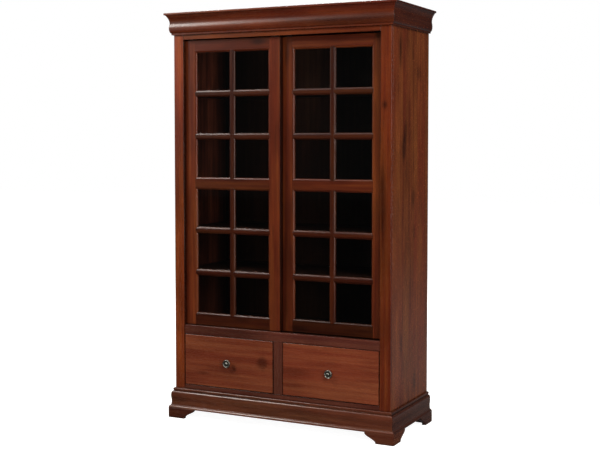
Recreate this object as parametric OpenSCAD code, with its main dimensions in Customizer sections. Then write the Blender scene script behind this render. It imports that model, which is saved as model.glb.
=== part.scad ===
// Executive bookcase with two sliding glazed doors over two drawers.
// The origin is on the floor under the centre of the piece, the front faces -Y and +Z is up.
// All lengths are in millimetres.

/* [Case] */
// Width over the two side panels
case_w = 1220; // [1100:10:1400]
// Depth from the front of the face frame to the back
case_d = 508; // [480:4:620]
// Thickness of the side panels
side_t = 19; // [18:1:24]
// Thickness of the top, deck and bottom boards and of the divider
board_t = 18; // [16:1:22]
// Thickness of the back panel
back_t = 6; // [4:1:9]
// Width of the rebate in the side panels that takes the back panel
back_rebate_w = 10; // [6:1:12]
// Depth of the housings in the side panels that take the boards
housing_d = 6; // [4:1:9]
// Thickness of the board on top of the case
top_board_t = 12; // [10:1:18]

/* [Face frame] */
// Thickness of the face frame
frame_t = 20; // [18:1:25]
// Width of the outer stiles
frame_stile_w = 57; // [45:1:75]
// Width of the stile between the drawers
centre_stile_w = 50; // [40:1:70]
// Height of the bottom rail that shows above the base moulding
bottom_rail_h = 23; // [15:1:50]
// Height of the drawer openings
drawer_open_h = 269; // [220:1:330]
// Height of the rail between drawers and doors
middle_rail_h = 47; // [40:1:70]
// Height of the door opening
door_open_h = 1488; // [1300:4:1600]
// Height of the top rail that shows below the crown
top_rail_h = 25; // [15:1:60]

/* [Crown moulding] */
// Height of the crown moulding
crown_h = 113; // [105:1:140]
// How far the nose of the crown stands out from the case
crown_out = 39.5; // [37:0.5:60]
// Height of the nose along the top of the crown
crown_nose_h = 11; // [9:1:16]
// How far the lower end of the crown stands out from the case
crown_foot_out = 10; // [6:1:14]
// Height of the square fillet at the lower end of the crown
crown_fillet_h = 9; // [5:1:14]
// How far the round belly of the crown stands out from the case
crown_belly_out = 19.5; // [16:0.5:24]
// Height of the middle of the belly above the lower end of the crown
crown_belly_z = 36; // [28:1:42]
// How far the hollow over the belly stands out from the case
crown_hollow_out = 16.5; // [12:0.5:18]
// Height of the hollow above the lower end of the crown
crown_hollow_z = 61; // [52:1:72]
// Width of the flat under the nose of the crown
crown_nose_w = 7; // [4:0.5:10]

/* [Base moulding and feet] */
// Height of the bracket feet
foot_h = 52; // [40:1:90]
// Width of a foot on the floor
foot_floor_w = 95; // [70:1:110]
// Width of a foot under the base moulding
foot_top_w = 153; // [135:1:180]
// Thickness of the foot boards
foot_t = 20; // [16:1:24]
// Side of the square glue block in each foot
foot_block_w = 45; // [30:1:60]
// Height of the glue block above the floor
foot_block_lift = 3; // [0:1:10]
// Height of the base moulding
base_h = 103; // [96:1:130]
// How far the foot of the base moulding stands out from the case
base_out = 28.5; // [26:0.5:36]
// Height of the round foot of the base moulding
base_round_h = 12; // [8:1:16]
// Height of the ledge on the round foot
base_ledge_h = 14; // [12:0.5:20]
// How far the belly of the base moulding stands out from the case
base_belly_out = 19; // [17:0.5:22]
// Height of the middle of the belly above the foot of the base moulding
base_belly_z = 64; // [58:1:74]
// How far the hollow of the base moulding stands out from the case
base_hollow_out = 16.5; // [13:0.5:18]
// Height of the hollow above the foot of the base moulding
base_hollow_z = 35; // [28:1:48]
// How far the nose along the top of the base moulding stands out from the case
base_nose_out = 10; // [8:0.5:12]
// Height of the nose along the top of the base moulding
base_nose_h = 12; // [8:1:14]

/* [Sliding doors] */
// Thickness of the doors
door_t = 22; // [20:1:26]
// Width of the door stiles with their moulded edge
door_stile_w = 70; // [60:1:85]
// Height of the top and bottom rails with their moulded edge
door_rail_h = 64; // [55:1:90]
// Height of the middle rail with both moulded edges
door_mid_rail_h = 65; // [50:1:90]
// Width of the glazing bars with both moulded edges
bar_w = 34; // [28:1:40]
// Width of the moulded edge round each pane
lip_w = 10; // [7:0.5:11]
// Depth of the moulded edge, in front of the glass
lip_d = 12; // [10:0.5:13]
// Thickness of the glass
glass_t = 3; // [3:0.5:5]
// Width of the strips that hold the glass in
bead_w = 9; // [6:0.5:10]
// How far the two doors lap past each other at the middle of the case
door_lap = 4; // [2:1:20]
// How far each door reaches behind its outer face frame stile
door_cover = 4; // [2:1:15]
// Gap under the doors, over the middle rail
door_gap_low = 3; // [2:0.5:5]
// Gap over the doors, under the top rail
door_gap_high = 5; // [4:0.5:10]
// Gap between the face frame and the front door
door_gap_front = 2; // [1:0.5:4]
// Gap between the two doors
door_gap_between = 4; // [2:0.5:8]
// Gap between the shut doors and the jamb strips
door_gap_jamb = 0.5; // [0.5:0.5:3]

/* [Door gear] */
// Height of the lower track
track_h = 6; // [5:0.5:8]
// Thickness of the metal of the lower track
track_wall = 1.6; // [1.2:0.1:2]
// Radius of the door wheels
wheel_r = 12; // [10:0.5:14]
// Width of the door wheels
wheel_w = 5; // [4:0.5:6]
// Radius of the wheel axles
axle_r = 2; // [1.5:0.25:3]
// Length of a wheel housing
housing_l = 42; // [36:1:50]
// Thickness of a wheel housing
housing_t = 12; // [11:0.5:14]
// Height of a wheel housing
housing_h = 22; // [20:1:28]
// Height of the upper track
upper_track_h = 18; // [14:1:24]
// How far the upper track sits above the opening
upper_track_lift = 2; // [1:0.5:8]
// Thickness of the guide tongues on the doors
guide_t = 5; // [4:0.5:7]
// Length of the guide tongues
guide_l = 40; // [25:1:50]
// Thickness of the guide plates
guide_plate_t = 2; // [1.5:0.5:3]
// How far the guide tongues reach into the upper track
guide_reach = 8; // [5:0.5:10]

/* [Shelves] */
// Thickness of the shelves
shelf_t = 20; // [18:1:25]
// Gap between the back of the doors and the front of the shelves
shelf_setback = 6; // [4:1:20]
// Gap at each end of an adjustable shelf
shelf_gap = 0.8; // [0.5:0.1:0.9]
// Radius of the shelf pins
pin_r = 2.5; // [2:0.5:3.5]
// Length of a shelf pin inside the side panel
pin_in = 8; // [6:1:9]
// Length of a shelf pin under the shelf
pin_out = 10; // [8:1:14]
// Distance of the pin holes from the front and back edges of the shelves
pin_edge = 50; // [35:1:80]
// Distance between pin holes
pin_pitch = 32; // [25:1:40]
// Number of pin holes at each shelf, above and below the one in use
pin_spare = 1; // [0:1:3]

/* [Drawers] */
// Gap round the drawer fronts
drawer_gap = 2.5; // [1.5:0.5:4]
// Height of the drawer box
box_h = 205; // [160:1:210]
// Length of the drawer box
box_l = 450; // [380:5:450]
// Thickness of the drawer box sides
box_t = 12; // [11:1:16]
// Height of the drawer box above the bottom of its opening
box_lift = 22; // [12:1:40]
// Thickness of the drawer bottoms
box_bottom_t = 6; // [4:1:9]
// Height of the drawer bottoms above the lower edge of the box
box_bottom_lift = 12; // [8:1:16]
// Depth of the groove that holds the drawer bottom
box_groove_d = 6; // [4:1:8]
// Dovetails at each corner of a drawer box
tail_count = 5; // [3:1:7]
// Side space that the drawer slides take
slide_t = 12.5; // [12.5:0.1:14]
// Height of the drawer slides
slide_h = 45; // [42:1:50]
// Thickness of the metal of the drawer slides
slide_wall = 1.2; // [1:0.1:1.5]
// Distance from the back of the face frame to the front of the slides
slide_setback = 3; // [2:1:8]
// Height of the strips that pack out the slides
packer_h = 60; // [55:1:80]
// Radius of the knobs
knob_r = 21; // [14:0.5:22]
// How far the knobs stand out from the drawer fronts
knob_out = 29; // [24:0.5:32]

/* [Hidden] */

$fn = 48;
// Overrun of a cut past the face that it starts from
cut = 1;
// Hairline between glued pieces
joint_gap = 0.1;

// Colours
wood = "#6b3524";
inner_wood = "#4a2519";
box_wood = "#c9a877";
steel = "#a7a9ab";
pewter = "#4b4a47";
nylon = "#2b2b2b";

// Heights of the case, from the floor up
base_z = foot_h;
drawer_z = base_z + base_h + bottom_rail_h;
middle_rail_z = drawer_z + drawer_open_h;
door_open_z = middle_rail_z + middle_rail_h;
top_rail_z = door_open_z + door_open_h;
crown_z = top_rail_z + top_rail_h;
total_h = crown_z + crown_h;
top_board_z = total_h - top_board_t;
bottom_z = base_z + base_h - board_t;
deck_z = door_open_z - track_h - board_t;
upper_track_z = top_rail_z + upper_track_lift;
case_top_z = upper_track_z + upper_track_h;

// Depths, from the front to the back
front_y = (crown_out - case_d) / 2;
back_y = front_y + case_d;
frame_back_y = front_y + frame_t;
panel_y = back_y - back_t;
left_door_y = frame_back_y + door_gap_front;
right_door_y = left_door_y + door_t + door_gap_between;
doors_back_y = right_door_y + door_t;
shelf_y = doors_back_y + shelf_setback;

// Widths, from the middle to the sides
side_x = case_w / 2;
inner_x = side_x - side_t;
opening_x = side_x - frame_stile_w;
board_x = inner_x + housing_d;

// Door sizes
door_w = opening_x + door_cover + door_lap / 2;
door_h = door_open_h - door_gap_low - door_gap_high;
door_z = door_open_z + door_gap_low;
stile_body_w = door_stile_w - lip_w;
rail_body_h = door_rail_h - lip_w;
mid_rail_body_h = door_mid_rail_h - 2 * lip_w;
bar_body_w = bar_w - 2 * lip_w;
window_w = door_w - 2 * stile_body_w;
window_h = (door_h - 2 * rail_body_h - mid_rail_body_h) / 2;
window_z = [rail_body_h, rail_body_h + window_h + mid_rail_body_h];
pane_rows = 3;
pane_columns = 2;
row_pitch = window_h / pane_rows;
column_pitch = window_w / pane_columns;
bead_d = door_t - lip_d - glass_t;
jamb_x = opening_x + door_cover + door_gap_jamb;

// Shelves stand behind the glazing bars and the middle rails
shelf_heights = [
    for (w = [0, 1], row = [1 : pane_rows - 1]) door_z + window_z[w] + row * row_pitch - shelf_t / 2];
fixed_shelf_z = door_z + rail_body_h + window_h + (mid_rail_body_h - shelf_t) / 2;
pin_fit = 0.05;
pin_hole_spare = 2;
pin_hole_d = pin_in + pin_hole_spare;
pin_pad_t = 2;
pin_pad_w = 12;

// Door wheels run in the lower track and the axles sit in the housings
wheel_gap = 0.3;
axle_fit = 0.06;
groove_play = 1.1;
groove_w = wheel_w + 2 * groove_play;
wheel_z = deck_z + board_t + track_wall + wheel_gap + wheel_r;
wheel_x = [door_stile_w / 2, door_w - door_stile_w / 2];
housing_slot_w = wheel_w + 1;
guide_fit = 0.5;

// Drawers
drawer_w = opening_x - centre_stile_w / 2;
drawer_x = (opening_x + centre_stile_w / 2) / 2;
box_w = drawer_w - 2 * slide_t;
box_z = drawer_z + box_lift;
slide_z = box_z + box_h / 2;
slide_l = box_l - slide_setback;
tail_pitch = box_h / tail_count;
// Half width of a tail at its wide end, and how much narrower it is at the shoulder
tail_half_w = tail_pitch * 0.36;
tail_flare = 4;
// The rolled edges of the slide members hold the balls and stand this thick
race_t = 3.4;
slide_gap = 0.3;
middle_half_h = slide_h / 2 - slide_wall - slide_gap;
inner_half_h = middle_half_h - race_t - slide_gap;
// Distances from the packer: edge of the channel, near and far side of the middle member, and
// near side of the inner member, which is screwed to the drawer box
channel_edge = slide_t - 3.5;
middle_near = 2 * slide_wall;
middle_far = slide_t - 2.7;
inner_near = slide_t - 7.5;

// Points of a quarter of an ellipse from a to b. It leaves a along x and reaches b along y,
// or the other way round where flat is false.
function quarter(a, b, flat, steps = 8) = [
    for (i = [0 : steps])
        let (t = 90 * i / steps, s = sin(t), c = 1 - cos(t))
        [a.x + (b.x - a.x) * (flat ? s : c), a.y + (b.y - a.y) * (flat ? c : s)]];

// Points of an easy curve from a to b that leaves and arrives along y
function sway(a, b, steps = 8) = [
    for (i = [0 : steps])
        let (t = i / steps)
        [a.x + (b.x - a.x) * (1 - cos(180 * t)) / 2, a.y + (b.y - a.y) * t]];

// Box between two corners
module block(low, high) {
    translate(low) cube(high - low);
}

module mirrored_pair() {
    children();
    mirror([1, 0, 0]) children();
}

// Mouldings

// Outline of the crown: out from the case along x, up along y. A square fillet carries a round
// belly, an easy hollow and a deep cove under the nose.
module crown_outline() {
    nose_z = crown_h - crown_nose_h;
    belly = [crown_belly_out, crown_belly_z];
    hollow = [crown_hollow_out, crown_hollow_z];
    nose_lip = 1.5;
    cove_top = [crown_out - crown_nose_w, nose_z - nose_lip];
    cove_power = 1.9;
    ease = 2.5;
    polygon(concat(
        [[0, 0], [crown_foot_out, 0]],
        quarter([crown_foot_out, crown_fillet_h], belly, true),
        sway(belly, hollow, 6),
        [for (t = [0.15 : 0.15 : 0.9])
            let (c = pow(t, cove_power))
            [hollow.x + (cove_top.x - hollow.x) * c, hollow.y + (cove_top.y - hollow.y) * t]],
        [cove_top, [cove_top.x, nose_z], [crown_out - ease, nose_z]],
        quarter([crown_out - ease, nose_z], [crown_out, nose_z + ease], true, 4),
        quarter([crown_out, crown_h - ease], [crown_out - ease, crown_h], false, 4),
        [[0, crown_h]]));
}

// Outline of the base: a quarter round foot, a ledge, a hollow, a belly and a nose on top
module base_outline() {
    round_w = 7;
    fillet = 2;
    belly_drop = 16.5;
    hollow = [base_hollow_out, base_hollow_z];
    belly = [base_belly_out, base_belly_z];
    belly_top = [base_nose_out + fillet, base_h - belly_drop];
    groove_out = base_nose_out - fillet;
    nose_z = base_h - base_nose_h;
    ease = 3;
    polygon(concat(
        [[0, 0]],
        quarter([base_out, 0], [base_out - round_w, base_round_h], false, 6),
        [[base_hollow_out + fillet, base_ledge_h]],
        quarter([base_hollow_out + fillet, base_ledge_h + fillet], hollow, true, 4),
        sway(hollow, belly),
        quarter(belly, belly_top, false),
        [[groove_out, belly_top.y], [groove_out, nose_z]],
        quarter([groove_out, nose_z], [base_nose_out, nose_z + ease], true, 4),
        quarter([base_nose_out, base_h - ease], [base_nose_out - ease, base_h], false, 4),
        [[0, base_h]]));
}

// A length of moulding along X that stands out towards -Y. Its ends are mitred where asked.
module moulding_length(length, out, height, mitre_left, mitre_right) {
    intersection() {
        rotate([90, 0, -90]) linear_extrude(length + 2 * out, center = true) children();
        linear_extrude(height) polygon([
            [-length / 2, 0],
            [-length / 2 - (mitre_left ? out : 0), -out],
            [length / 2 + (mitre_right ? out : 0), -out],
            [length / 2, 0]]);
    }
}

// Moulding round the front and both sides of the case, flush with the back
module case_moulding(out, height) {
    translate([0, front_y, 0]) moulding_length(case_w, out, height, true, true) children();
    mirrored_pair()
        translate([side_x, (front_y + back_y + joint_gap) / 2, 0]) rotate([0, 0, 90])
            moulding_length(case_d - joint_gap, out, height, true, false) children();
}

module crown_moulding() {
    color(wood) translate([0, 0, crown_z]) case_moulding(crown_out, crown_h) crown_outline();
}

module base_moulding() {
    color(wood) translate([0, 0, base_z]) case_moulding(base_out, base_h) base_outline();
}

// Bracket feet

// Face of a foot board: straight outer edge at x = 0, ogee inner edge between two short drops
module foot_outline() {
    drop = foot_h * 0.08;
    polygon(concat(
        [[0, 0], [foot_floor_w, 0]],
        sway([foot_floor_w, drop], [foot_top_w, foot_h - drop], 12),
        [[foot_top_w, foot_h], [0, foot_h]]));
}

// One foot board along +X with its outer face at y = 0, mitred at x = 0 where asked
module foot_board(mitred) {
    far = foot_t + cut;
    difference() {
        translate([0, foot_t, 0]) rotate([90, 0, 0]) linear_extrude(foot_t) foot_outline();
        if (mitred)
            translate([joint_gap, 0, -cut]) linear_extrude(foot_h + 2 * cut)
                polygon([[-cut, -cut], [far, far], [-far, far], [-far, -cut]]);
    }
}

// Square block in the corner of a foot, clear of the floor
module foot_block() {
    translate([0, 0, foot_block_lift]) cube([foot_block_w, foot_block_w, foot_h - foot_block_lift]);
}

// Left front foot: front board, side board and the glue block in their corner
module front_foot() {
    color(wood) translate([-side_x - base_out, front_y - base_out, 0]) {
        foot_board(true);
        mirror([1, -1, 0]) foot_board(true);
        translate([foot_t + joint_gap, foot_t + joint_gap, 0]) foot_block();
    }
}

// Left rear foot: side board flush with the back, plain back board and glue block
module rear_foot() {
    color(wood) translate([-side_x - base_out, back_y, 0]) {
        rotate([0, 0, -90]) foot_board(false);
        translate([foot_t + joint_gap, -foot_t, 0]) cube([foot_floor_w - foot_t, foot_t, foot_h]);
        translate([foot_t + joint_gap, -foot_t - joint_gap - foot_block_w, 0]) foot_block();
    }
}

module front_left_foot() {
    front_foot();
}

module front_right_foot() {
    mirror([1, 0, 0]) front_foot();
}

module rear_left_foot() {
    rear_foot();
}

module rear_right_foot() {
    mirror([1, 0, 0]) rear_foot();
}

// Case

// Side panel on the left: housings for the boards, rebate for the back and holes for the pins
module side_panel() {
    color(wood) difference() {
        block([-side_x, frame_back_y, base_z], [-inner_x, back_y, top_board_z]);
        block([-inner_x - back_rebate_w, panel_y, base_z - cut],
            [-inner_x + cut, back_y + cut, top_board_z + cut]);
        for (z = [bottom_z, deck_z, case_top_z])
            block([-board_x, frame_back_y - cut, z], [-inner_x + cut, panel_y + cut, z + board_t]);
        block([-board_x, shelf_y, fixed_shelf_z],
            [-inner_x + cut, panel_y + cut, fixed_shelf_z + shelf_t]);
        for (z = shelf_heights, y = [shelf_y + pin_edge, panel_y - pin_edge], i = [-pin_spare : pin_spare])
            translate([-inner_x - pin_hole_d, y, z - pin_r + i * pin_pitch])
                rotate([0, 90, 0]) cylinder(h = pin_hole_d + cut, r = pin_r + pin_fit);
    }
}

module side_panel_left() {
    side_panel();
}

module side_panel_right() {
    mirror([1, 0, 0]) side_panel();
}

module back_panel() {
    edge_x = inner_x + back_rebate_w;
    color(inner_wood) block([-edge_x, panel_y, base_z], [edge_x, back_y, top_board_z]);
}

// Board across the case, held in the housings of the side panels
module case_board(z) {
    color(inner_wood) block([-board_x, frame_back_y, z], [board_x, panel_y, z + board_t]);
}

module case_top() {
    case_board(case_top_z);
}

module case_deck() {
    case_board(deck_z);
}

module case_bottom() {
    case_board(bottom_z);
}

module drawer_divider() {
    color(inner_wood)
        block([-board_t / 2, frame_back_y, bottom_z + board_t], [board_t / 2, panel_y, deck_z]);
}

module top_board() {
    color(wood) block([-side_x, front_y, top_board_z], [side_x, back_y, total_h]);
}

// Face frame

module frame_stile() {
    color(wood) block([-side_x, front_y, base_z], [-opening_x, frame_back_y, top_board_z]);
}

module frame_stile_left() {
    frame_stile();
}

module frame_stile_right() {
    mirror([1, 0, 0]) frame_stile();
}

module frame_rail(low, high) {
    color(wood) block([-opening_x, front_y, low], [opening_x, frame_back_y, high]);
}

module frame_bottom_rail() {
    frame_rail(base_z, drawer_z);
}

module frame_middle_rail() {
    frame_rail(middle_rail_z, door_open_z);
}

module frame_top_rail() {
    frame_rail(top_rail_z, top_board_z);
}

module frame_centre_stile() {
    color(wood)
        block([-centre_stile_w / 2, front_y, drawer_z], [centre_stile_w / 2, frame_back_y, middle_rail_z]);
}

// Shelves

module fixed_shelf() {
    color(inner_wood)
        block([-board_x, shelf_y, fixed_shelf_z], [board_x, panel_y, fixed_shelf_z + shelf_t]);
}

module loose_shelf(z) {
    end_x = inner_x - shelf_gap;
    color(inner_wood) block([-end_x, shelf_y, z], [end_x, panel_y - shelf_gap, z + shelf_t]);
}

module shelf_1() {
    loose_shelf(shelf_heights[0]);
}

module shelf_2() {
    loose_shelf(shelf_heights[1]);
}

module shelf_3() {
    loose_shelf(shelf_heights[2]);
}

module shelf_4() {
    loose_shelf(shelf_heights[3]);
}

// Pin with a flat pad under the shelf; its round shank sits in the side panel at x = 0
module shelf_pin() {
    translate([-pin_in, 0, -pin_r]) rotate([0, 90, 0]) cylinder(h = pin_in + pin_out, r = pin_r);
    translate([0, -pin_pad_w / 2, -pin_pad_t]) cube([pin_out, pin_pad_w, pin_pad_t]);
}

module shelf_pins() {
    color(steel) mirrored_pair()
        for (z = shelf_heights, y = [shelf_y + pin_edge, panel_y - pin_edge])
            translate([-inner_x, y, z]) shelf_pin();
}

// Tracks and jambs

module door_jambs() {
    color(inner_wood) mirrored_pair()
        block([-inner_x, frame_back_y, deck_z + board_t], [-jamb_x, doors_back_y, case_top_z]);
}

// Grooves along both door centre lines, cut into a bar from the height low to the height high
module track_grooves(width, low, high) {
    for (y = [left_door_y, right_door_y])
        block([-jamb_x - cut, y + (door_t - width) / 2, low], [jamb_x + cut, y + (door_t + width) / 2, high]);
}

// Rolled aluminium track: a base with a groove for each door and a hollow between the two
module lower_track() {
    top_z = deck_z + board_t + track_h;
    floor_z = deck_z + board_t + track_wall;
    middle_y = (left_door_y + doors_back_y) / 2;
    spare = (right_door_y - left_door_y - groove_w) / 2 - track_wall;
    color(steel) difference() {
        block([-jamb_x, left_door_y, deck_z + board_t], [jamb_x, doors_back_y, top_z]);
        track_grooves(groove_w, floor_z, top_z + cut);
        block([-jamb_x - cut, middle_y - spare, floor_z], [jamb_x + cut, middle_y + spare, top_z + cut]);
    }
}

module upper_track() {
    web = 2;
    color(inner_wood) difference() {
        block([-jamb_x, left_door_y, upper_track_z], [jamb_x, doors_back_y, case_top_z]);
        track_grooves(guide_t + 2 * guide_fit, upper_track_z - cut, case_top_z - web);
    }
}

// Doors, each built in its own frame: x and z from its lower left corner, y from its front face

// Moulded edge of a pane along X. Its back edge is at z = 0, it grows towards +Z and both ends
// are mitred, so that four of them frame a pane.
module lip(length) {
    step = 1.5;
    quirk = 1;
    round_d = 7;
    sight = length / 2 - lip_w;
    intersection() {
        rotate([90, 0, 90]) linear_extrude(length, center = true)
            polygon(concat(
                [[lip_d, 0], [step, 0]],
                quarter([step, quirk], [step + round_d, lip_w - quirk], false, 6),
                [[step + round_d, lip_w], [lip_d, lip_w]]));
        rotate([90, 0, 0]) translate([0, 0, -lip_d]) linear_extrude(lip_d)
            polygon([[-length / 2, 0], [length / 2, 0], [sight, lip_w], [-sight, lip_w]]);
    }
}

// Width and height of the pane in this column or row, out to the bodies of its members: panes at
// the rim reach the stile or rail, and the others end at a glazing bar on each side
function pane_edges(index, count, pitch) = [
    index == 0 ? 0 : index * pitch + bar_body_w / 2,
    index == count - 1 ? count * pitch : (index + 1) * pitch - bar_body_w / 2];

function column_edges(column) =
    [for (e = pane_edges(column, pane_columns, column_pitch)) stile_body_w + e];
function row_edges(w, row) = [for (e = pane_edges(row, pane_rows, row_pitch)) window_z[w] + e];

// Moulded edge along the bottom (side = 0) or top (side = 1) of a pane
module level_lip(w, row, column, side) {
    xs = column_edges(column);
    zs = row_edges(w, row);
    translate([(xs[0] + xs[1]) / 2, 0, zs[side]]) mirror([0, 0, side])
        lip(xs[1] - xs[0] - 2 * joint_gap);
}

// Moulded edge along the left (side = 0) or right (side = 1) of a pane
module upright_lip(w, row, column, side) {
    xs = column_edges(column);
    zs = row_edges(w, row);
    translate([xs[side], 0, (zs[0] + zs[1]) / 2]) mirror([side, 0, 0]) rotate([0, 90, 0])
        lip(zs[1] - zs[0]);
}

module door_stiles() {
    color(wood) for (side = [0, 1]) {
        x = side * (door_w - stile_body_w);
        difference() {
            block([x, 0, 0], [x + stile_body_w, door_t, door_h]);
            wheel_pocket(side);
        }
        for (w = [0, 1], row = [0 : pane_rows - 1])
            upright_lip(w, row, side * (pane_columns - 1), side);
    }
}

// Pocket in the foot of a stile for the wheel housing
module wheel_pocket(side) {
    translate([wheel_x[side] - housing_l / 2, (door_t - housing_t) / 2, -cut])
        cube([housing_l, housing_t, housing_h + cut]);
}

module door_rails() {
    color(wood) for (rail = [0 : 2]) {
        low = [0, rail_body_h + window_h, door_h - rail_body_h][rail];
        height = [rail_body_h, mid_rail_body_h, rail_body_h][rail];
        block([stile_body_w, 0, low], [door_w - stile_body_w, door_t, low + height]);
        for (column = [0 : pane_columns - 1]) {
            if (rail < 2) level_lip(rail, 0, column, 0);
            if (rail > 0) level_lip(rail - 1, pane_rows - 1, column, 1);
        }
    }
}

// Glazing bars: one upright in each window and short level bars tenoned into it
module door_glazing_bars() {
    color(wood) for (w = [0, 1]) {
        for (i = [1 : pane_columns - 1]) {
            x = stile_body_w + i * column_pitch;
            block([x - bar_body_w / 2, 0, window_z[w]], [x + bar_body_w / 2, lip_d, window_z[w] + window_h]);
            for (row = [0 : pane_rows - 1]) {
                upright_lip(w, row, i - 1, 1);
                upright_lip(w, row, i, 0);
            }
        }
        for (i = [1 : pane_rows - 1], column = [0 : pane_columns - 1]) {
            z = window_z[w] + i * row_pitch;
            xs = column_edges(column);
            block([xs[0] + joint_gap, 0, z - bar_body_w / 2],
                [xs[1] - joint_gap, lip_d, z + bar_body_w / 2]);
            level_lip(w, i - 1, column, 1);
            level_lip(w, i, column, 0);
        }
    }
}

module door_glass() {
    gap = 1;
    color("#d8e2e0", 0.35) for (w = [0, 1])
        block([stile_body_w + gap, lip_d, window_z[w] + gap],
            [door_w - stile_body_w - gap, lip_d + glass_t, window_z[w] + window_h - gap]);
}

// Strips behind the glass: level ones right across, upright ones between them
module door_glass_beads() {
    left = stile_body_w;
    right = door_w - stile_body_w;
    near = lip_d + glass_t;
    color(wood) for (w = [0, 1]) {
        low = window_z[w];
        high = low + window_h;
        block([left, near, low], [right, near + bead_d, low + bead_w]);
        block([left, near, high - bead_w], [right, near + bead_d, high]);
        for (x = [left, right - bead_w])
            block([x, near, low + bead_w + joint_gap],
                [x + bead_w, near + bead_d, high - bead_w - joint_gap]);
    }
}

// Pressed housing in the foot of each stile with the riveted axle of its wheel
module door_wheel_housings() {
    slot_l = 2 * wheel_r + 2;
    axle_z = wheel_z - door_z;
    color(steel) for (x = wheel_x) translate([x, door_t / 2, 0]) {
        difference() {
            translate([-housing_l / 2, -housing_t / 2, 0]) cube([housing_l, housing_t, housing_h]);
            translate([-slot_l / 2, -housing_slot_w / 2, -cut])
                cube([slot_l, housing_slot_w, axle_z + wheel_r + 1 + cut]);
        }
        translate([0, 0, axle_z]) rotate([90, 0, 0]) cylinder(h = housing_t - 1, r = axle_r, center = true);
    }
}

// Grooved nylon wheel round the axle of the housing
module door_wheel(side) {
    edge = 0.6;
    color(nylon) translate([wheel_x[side], door_t / 2, wheel_z - door_z]) rotate([90, 0, 0])
        rotate_extrude() polygon([
            [axle_r + axle_fit, -wheel_w / 2],
            [wheel_r - edge, -wheel_w / 2],
            [wheel_r, edge - wheel_w / 2],
            [wheel_r, wheel_w / 2 - edge],
            [wheel_r - edge, wheel_w / 2],
            [axle_r + axle_fit, wheel_w / 2]]);
}

// Plate on top of each stile with the tongue that runs in the upper track
module door_guides() {
    plate_w = 14;
    tongue_top = upper_track_z + guide_reach - door_z;
    color(nylon) for (x = wheel_x) translate([x - guide_l / 2, door_t / 2, door_h]) {
        translate([0, -plate_w / 2, 0]) cube([guide_l, plate_w, guide_plate_t]);
        translate([0, -guide_t / 2, 0]) cube([guide_l, guide_t, tongue_top - door_h]);
    }
}

module at_left_door() {
    translate([-opening_x - door_cover, left_door_y, door_z]) children();
}

module at_right_door() {
    translate([-door_lap / 2, right_door_y, door_z]) children();
}

module left_door_stiles() {
    at_left_door() door_stiles();
}

module left_door_rails() {
    at_left_door() door_rails();
}

module left_door_glazing_bars() {
    at_left_door() door_glazing_bars();
}

module left_door_glass() {
    at_left_door() door_glass();
}

module left_door_glass_beads() {
    at_left_door() door_glass_beads();
}

module left_door_wheel_housings() {
    at_left_door() door_wheel_housings();
}

module left_door_guides() {
    at_left_door() door_guides();
}

module left_door_wheel_1() {
    at_left_door() door_wheel(0);
}

module left_door_wheel_2() {
    at_left_door() door_wheel(1);
}

module right_door_stiles() {
    at_right_door() door_stiles();
}

module right_door_rails() {
    at_right_door() door_rails();
}

module right_door_glazing_bars() {
    at_right_door() door_glazing_bars();
}

module right_door_glass() {
    at_right_door() door_glass();
}

module right_door_glass_beads() {
    at_right_door() door_glass_beads();
}

module right_door_wheel_housings() {
    at_right_door() door_wheel_housings();
}

module right_door_guides() {
    at_right_door() door_guides();
}

module right_door_wheel_1() {
    at_right_door() door_wheel(0);
}

module right_door_wheel_2() {
    at_right_door() door_wheel(1);
}

// Drawers, each built in its own frame: x from its middle, y from the back of the face frame,
// z from the bottom of its opening

module drawer_front() {
    half = drawer_w / 2 - drawer_gap;
    color(wood) block([-half, -frame_t, drawer_gap], [half, 0, drawer_open_h - drawer_gap]);
}

// Panel let into grooves round the inside of the box, or the groove itself with a gap
module box_bottom(gap = 0) {
    reach = box_t - box_groove_d - gap;
    low = box_lift + box_bottom_lift;
    block([-box_w / 2 + reach, reach, low - gap],
        [box_w / 2 - reach, box_l - reach, low + box_bottom_t + gap]);
}

// Side of the box with a row of tails at each end, narrow at the shoulder, or its socket with a gap
module box_side(gap = 0) {
    half = tail_half_w + gap;
    shoulder = box_t - gap;
    translate([-box_w / 2, 0, box_lift]) rotate([90, 0, 90]) linear_extrude(box_t + gap) {
        translate([shoulder, 0]) square([box_l - 2 * shoulder, box_h]);
        for (i = [0 : tail_count - 1], far = [0, 1])
            translate([far * box_l, (i + 0.5) * tail_pitch]) mirror([far, 0])
                polygon([
                    [0, -half], [shoulder, tail_flare - half],
                    [shoulder, half - tail_flare], [0, half]]);
    }
}

module drawer_box() {
    color(box_wood) {
        mirrored_pair() difference() {
            box_side();
            box_bottom(joint_gap);
        }
        for (y = [0, box_l - box_t]) difference() {
            block([-box_w / 2, y, box_lift], [box_w / 2, y + box_t, box_lift + box_h]);
            mirrored_pair() box_side(joint_gap);
            box_bottom(joint_gap);
        }
        box_bottom();
    }
}

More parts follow.
